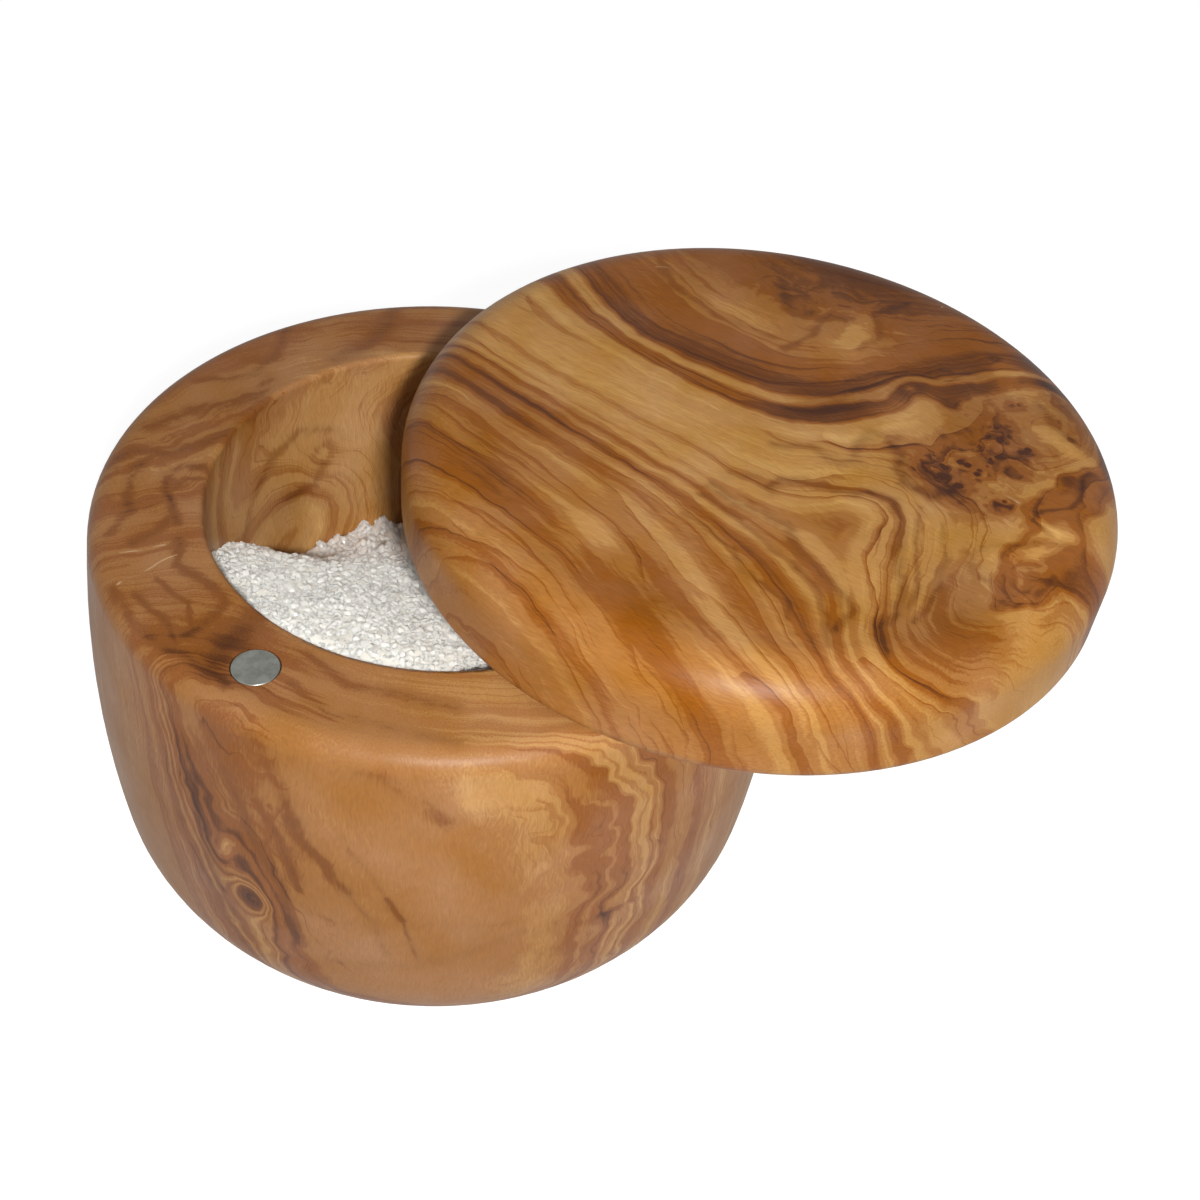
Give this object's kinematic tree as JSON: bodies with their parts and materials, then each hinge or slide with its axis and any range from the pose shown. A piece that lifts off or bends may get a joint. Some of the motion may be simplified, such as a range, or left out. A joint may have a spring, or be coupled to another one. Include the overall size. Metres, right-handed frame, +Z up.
{
  "type": "salt keeper with swivel lid",
  "caption": "Round turned-wood salt keeper: a bowl-shaped body with a flat rim and a disc lid that swivels on a pin in the rim and is held shut by magnets.",
  "frame": {"origin": "centre of the flat foot, on the surface that the keeper stands on", "axes": "+Z up along the axis that the body was turned on; +Y towards the pivot pin; -Y is the front, where the magnets meet when the lid is closed"},
  "size_m": [0.153, 0.1371, 0.093],
  "materials": {
    "body_wood": "oiled",
    "lid_wood": "oiled",
    "magnet_nickel": "satin",
    "pin_steel": "ground"
  },
  "bodies": {
    "body": {"body": "body_wood", "body_magnet": "magnet_nickel"},
    "lid": {"lid": "lid_wood", "lid_magnet": "magnet_nickel", "pivot_pin": "pin_steel"}
  },
  "joints": [
    {"name": "lid_swivel", "type": "hinge", "parent": "body", "child": "lid", "pos_m": [0, 0.04596, 0.075], "axis": [0, 0, -1], "continuous": true}
  ]
}
